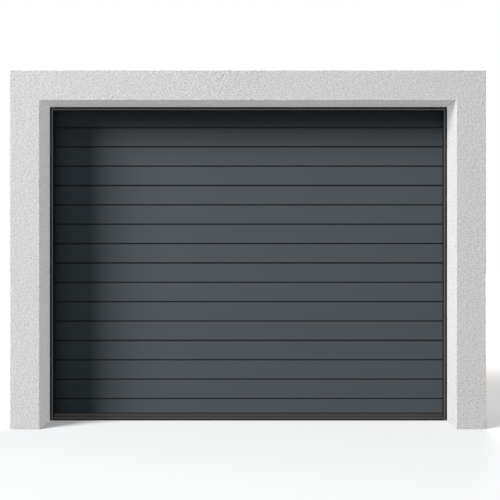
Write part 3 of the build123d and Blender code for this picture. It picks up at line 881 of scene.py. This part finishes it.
def leaf_screws(mesh, low, high, height, sides):
    """Four screws in each leaf of one hinge; sides are 1 above the joint, -1 below."""
    centre, width = (low.x + high.x) / 2, high.x - low.x
    for side in sides:
        for row in LEAF_ROWS:
            for column in (-LEAF_COLUMN, LEAF_COLUMN):
                foot = (centre + column * width, inner_y + SHEET_LEAF, height + side * row)
                screw(mesh, foot, (0, 1, 0), SCREW, row * 90 + column + centre)


def plate_screws(mesh, low, high, columns, rows):
    """Screws in a base plate on the curtain's inner face, at shares of its box."""
    for column in columns:
        for row in rows:
            x = low.x + (high.x - low.x) * column
            z = low.z + (high.z - low.z) * row
            screw(mesh, (x, inner_y + PLATE, z), (0, 1, 0), SCREW, row * 7 + column)


print("screw heads", round(2000 * SCREW, 1), "and", round(2000 * BOLT, 1), "mm wide")

# %% [markdown]
# Screws of the curtain. The three lower sections ride on one body and the top section on
# another, so their screws are two meshes. The hinge at the top joint has a leaf on either body.
# Each screw is turned by a different angle, because nobody lines them up.

# %% Screws of the curtain
BOTTOM_COLUMNS = (0.35, 0.65)
BOTTOM_ROWS = (0.60, 0.88)
TOP_COLUMNS = (0.32, 0.68)
TOP_ROWS = (0.07, 0.25, 0.70, 0.88)
curtain_screws = bmesh.new()
top_screws = bmesh.new()
for node in ("low_hinges", "middle_hinges"):
    for low, high in clusters(node, 0, HINGES_APART):
        leaf_screws(curtain_screws, low, high, (low.z + high.z) / 2, (-1, 1))
pins_low, pins_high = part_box("top_hinge_pins")
joint_height = (pins_low.z + pins_high.z) / 2
for low, high in clusters("top_hinge_lower_leaves", 0, HINGES_APART):
    leaf_screws(curtain_screws, low, high, joint_height, (-1,))
for low, high in clusters("top_hinge_upper_leaves", 0, HINGES_APART):
    leaf_screws(top_screws, low, high, joint_height, (1,))
for low, high in clusters("bottom_brackets", 0, HINGES_APART):
    plate_screws(curtain_screws, low, high, BOTTOM_COLUMNS, BOTTOM_ROWS)
for low, high in clusters("top_brackets", 0, HINGES_APART):
    plate_screws(top_screws, low, high, TOP_COLUMNS, TOP_ROWS)
piece("curtain_screws", curtain_screws, zinc, "curtain", smooth=False)
piece("top_section_screws", top_screws, zinc, "top_section", smooth=False)

# %% [markdown]
# Bolts of the fixed parts. The bearing plates are bolted to the wall, the track brackets to the
# frame legs, the hanger straps to the upper tracks and the cross tie to the ends of the tracks.
# None of them moves, so they are one mesh on the root body.

# %% Bolts of the fixed parts
FOOT_HEIGHT = 0.039
CENTRE_BOLTS = 0.018
END_BOLTS = 0.022
END_FOOT = 0.028
BRACKET_SCREWS = 0.012
BRACKET_EDGE = 0.016
STRAP_EDGE = 0.02
TIE_SCREWS = (0.975, 0.99)
BRACKETS_APART = 0.2
STRAPS_APART = 0.3
bolts = bmesh.new()
for low, high in clusters("end_bearing_plates", 0, SIDES_APART):
    outward = math.copysign(1, low.x)
    x = outward * (min(abs(low.x), abs(high.x)) + END_FOOT)
    for z in (low.z + FOOT_HEIGHT - END_BOLTS, low.z + FOOT_HEIGHT + END_BOLTS):
        screw(bolts, (x, PLATE, z), (0, 1, 0), BOLT, x)
plate_low, plate_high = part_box("centre_bearing_plate")
plate_middle = (plate_low.x + plate_high.x) / 2
for x in (plate_middle - CENTRE_BOLTS, plate_middle + CENTRE_BOLTS):
    screw(bolts, (x, PLATE, plate_low.z + FOOT_HEIGHT), (0, 1, 0), BOLT, x)
for low, high in clusters("track_brackets", 2, BRACKETS_APART):
    middle = (low.z + high.z) / 2
    for side in (-1, 1):
        for z in (middle - BRACKET_SCREWS, middle + BRACKET_SCREWS):
            foot = (side * (high.x - BRACKET_EDGE), leg_high.y + PLATE, z)
            screw(bolts, foot, (0, 1, 0), SCREW, z)
strap_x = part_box("top_track_right")[1].x + 2 * PLATE
for low, high in clusters("ceiling_hangers", 1, STRAPS_APART):
    for side in (-1, 1):
        foot = (side * strap_x, (low.y + high.y) / 2, low.z + STRAP_EDGE)
        screw(bolts, foot, (side, 0, 0), BOLT, high.y)
tie_low, tie_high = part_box("rear_cross_tie")
for side in (-1, 1):
    for share in TIE_SCREWS:
        foot = (side * tie_high.x * share, tie_low.y + PLATE, (tie_low.z + tie_high.z) / 2)
        screw(bolts, foot, (0, 1, 0), SCREW, share)
piece("frame_bolts", bolts, zinc, "root", smooth=False)

# %% [markdown]
# Floor. The floor is a plain pale surface that fades into a white background.
# It looks nearly white and keeps the shadows, straight on and mirrored in metal. For the light
# that bounces off it, it is a calm grey, so that it doesn't light the door from below. A little
# glow makes up for that, less of it close to the wall, where the room's light is cut off.

# %% Floor
FLOOR_GLOW = 0.28
FLOOR_GLOW_AT_WALL = 0.23
FLOOR_GLOW_BEHIND = 0.30
FLOOR_GLOW_FAR = 0.95
GLOW_TO_THE_RIGHT = 0.02
FLOOR_COLOUR = 0.86
FLOOR_TINT = (1.0, 0.915, 0.865, 1.0)
FLOOR_BOUNCE = 0.10
FADE = (2.0, 5.5)
BEFORE_WALL = (-1.6, 0.0)
BEHIND_WALL = (-0.25, 0.4)
FLOOR_SIZE = 60
FLOOR_GAP = 0.0005


def make_floor():
    shader = Shader(bpy.data.materials.new("floor"))
    seen = shader.seen_directly()
    shader.set(
        base_color=shader.mix(seen, grey(FLOOR_BOUNCE), grey(FLOOR_COLOUR)),
        roughness=0.9,
    )
    shader.gloss(0.0)
    where = shader.place()
    far = shader.add("ShaderNodeVectorMath", {"operation": "LENGTH"}, {0: where}, output=1)
    far = shader.ease(far, *FADE)
    depth = shader.axis(where, "Y")
    at_wall = shader.ease(depth, *BEFORE_WALL)
    behind = shader.ease(depth, *BEHIND_WALL)
    # Painted light: the glow is weaker towards the wall, as shade, and a little stronger to the right and behind
    # the wall.
    near_glow = FLOOR_GLOW + at_wall * (FLOOR_GLOW_AT_WALL - FLOOR_GLOW)
    near_glow = near_glow * (1 - behind) + behind * FLOOR_GLOW_BEHIND
    near_glow = near_glow + shader.axis(where, "X") * GLOW_TO_THE_RIGHT
    glow = near_glow * (1 - far) + far * FLOOR_GLOW_FAR
    shader.set(emission_color=shader.mix(seen * glow, grey(0.0), FLOOR_TINT), emission_strength=1.0)
    return shader.owner


bpy.ops.mesh.primitive_plane_add(size=FLOOR_SIZE, location=(0, 0, -FLOOR_GAP))
floor = bpy.context.object
floor.name = "floor"
floor.data.materials.append(make_floor())
floor.visible_shadow = False
print("floor:", len(floor.data.materials[0].node_tree.nodes), "nodes")

# %% [markdown]
# Background. Rays that show it, straight, mirrored or through glass, see plain white. For all
# other rays it is a weak bluish sky, because the lamps bring most of the light.

# %% World
WORLD_LIGHT = 0.10
SKY = (0.75, 1.0, 1.15, 1.0)
sky = Shader(bpy.data.worlds.new("studio"), "Background")
scene.world = sky.owner
seen = sky.seen_directly()
sky.set(
    color=sky.mix(seen, SKY, grey(1.0)),
    strength=seen + (1 - seen) * WORLD_LIGHT,
)
print("world light", WORLD_LIGHT)

# %% [markdown]
# Lamp helpers. A lamp's level is what a white surface facing it would show, so the watts follow
# from its distance. Light linking says which things a lamp reaches and which things block it.

# %% Lamp helpers
TARGET = Vector((-0.9, 0.0, 1.3))


def lamp(name, kind):
    data = bpy.data.lights.new(name, kind)
    holder = bpy.data.objects.new(name, data)
    scene.collection.objects.link(holder)
    return data, holder


def far_lamp(name, travel, distance, level, spread):
    """A round lamp that lights a facing white surface at the target to `level`."""
    data, holder = lamp(name, "POINT")
    data.energy = level * math.pi * 4 * math.pi * distance**2
    data.shadow_soft_size = distance * math.tan(spread)
    holder.location = TARGET - Vector(travel).normalized() * distance
    return holder


def sun(name, travel, level, angle):
    """An even light that lights a facing white surface to `level`."""
    data, holder = lamp(name, "SUN")
    data.energy = level * math.pi
    data.angle = angle
    holder.rotation_euler = Vector(travel).to_track_quat("-Z", "Y").to_euler()
    return holder


def linked(name, things, state):
    """A collection for light linking that takes these things in or leaves them out."""
    group = bpy.data.collections.new(name)
    for thing in things:
        group.objects.link(thing)
    for entry in group.collection_objects:
        entry.light_linking.link_state = state
    return group


def lights_only(holder, things, shadows=False):
    """Let a lamp reach these things alone, with nothing in its way unless shadows is true."""
    holder.light_linking.receiver_collection = linked(holder.name + "_reaches", things, "INCLUDE")
    if not shadows:
        blockers = linked(holder.name + "_blocked_by", [floor], "INCLUDE")
        holder.light_linking.blocker_collection = blockers


print("light aims at", tuple(TARGET))

# %% [markdown]
# Light. The key is a broad soft lamp high on the left in front of the wall: it draws the soft
# shadow of the left reveal along the curtain. A weak bluish lamp comes from steeply above, so
# that the shadow under the lintel isn't empty. Pale plaster takes the light of a bright room from
# every side, while the dark door shows little of it. Path tracing a whole white room would be
# slow and noisy, so light linking does the same with a few lamps that reach the wall alone, and
# the key that reaches the wall is weaker by what they give. One more reaches only the rim of the
# door: its frame, retainer and threshold. The last lamp stands in the garage.

# %% Lamps
KEY_TRAVEL = (0.786, 0.537, -0.404)
KEY_DISTANCE = 32.0
KEY_LEVEL = 1.67
KEY_ON_WALL = 0.94
KEY_SPREAD = math.radians(14)
HIGH_TRAVEL = (0.25, 1.0, -0.90)
HIGH_DISTANCE = 12.0
HIGH_LEVEL = 0.10
HIGH_SPREAD = math.radians(12)
FRONT_TRAVEL = (0.6, 0.8, -0.08)
FRONT_DISTANCE = 26.0
FRONT_LEVEL = 0.54
ROOM = {
    "wall_from_right": ((-1.0, 0.0, 0.0), 0.56),
    "wall_from_left": ((1.0, 0.0, 0.0), 0.23),
    "wall_from_below": ((0.0, 0.0, 1.0), 0.48),
}
ROOM_SPREAD = 0.1
RIM = ("frame_leg_left", "frame_leg_right", "frame_header", "threshold_strip", "bottom_retainer")
RIM_TRAVEL = (0.0, 0.75, -0.66)
RIM_LEVEL = 0.85
GARAGE_TRAVEL = (-0.20, -0.92, -0.34)
GARAGE_DISTANCE = 22.0
GARAGE_LEVEL = 0.62
key = far_lamp("key", KEY_TRAVEL, KEY_DISTANCE, KEY_LEVEL, KEY_SPREAD)
key.light_linking.receiver_collection = linked("key_leaves_out", [wall], "EXCLUDE")
high = far_lamp("high", HIGH_TRAVEL, HIGH_DISTANCE, HIGH_LEVEL, HIGH_SPREAD)
high.data.color = SKY[:3]
high.light_linking.receiver_collection = key.light_linking.receiver_collection
key_on_wall = far_lamp("key_on_wall", KEY_TRAVEL, KEY_DISTANCE, KEY_ON_WALL, KEY_SPREAD)
lights_only(key_on_wall, [wall], shadows=True)
wall_front = far_lamp("wall_front", FRONT_TRAVEL, FRONT_DISTANCE, FRONT_LEVEL, ROOM_SPREAD)
lights_only(wall_front, [wall])
for name, (travel, level) in ROOM.items():
    lights_only(sun(name, travel, level, ROOM_SPREAD), [wall])
rim_front = sun("rim_front", RIM_TRAVEL, RIM_LEVEL, ROOM_SPREAD)
lights_only(rim_front, [nodes[name] for name in RIM])
far_lamp("garage", GARAGE_TRAVEL, GARAGE_DISTANCE, GARAGE_LEVEL, KEY_SPREAD)
print("lamps:", len(bpy.data.lights))

# %% [markdown]
# Camera. It stands five metres in front of the wall, square to it, a little right of the middle
# and at chest height. The small shift sets the framing without tilting the camera.

# %% Camera
FOCAL_LENGTH = 56.47
SENSOR = 36
FRAMING = (-0.0182, -0.0024)
STAND = (0.0683, -5.021, 1.0997)
lens = bpy.data.cameras.new("camera")
lens.lens = FOCAL_LENGTH
lens.sensor_width = SENSOR
lens.shift_x, lens.shift_y = FRAMING
camera = bpy.data.objects.new("camera", lens)
camera.location = STAND
camera.rotation_euler = (math.radians(90), 0, 0)
scene.collection.objects.link(camera)
scene.camera = camera
scene.view_settings.view_transform = "Standard"
print("camera at", tuple(camera.location))

# %% [markdown]
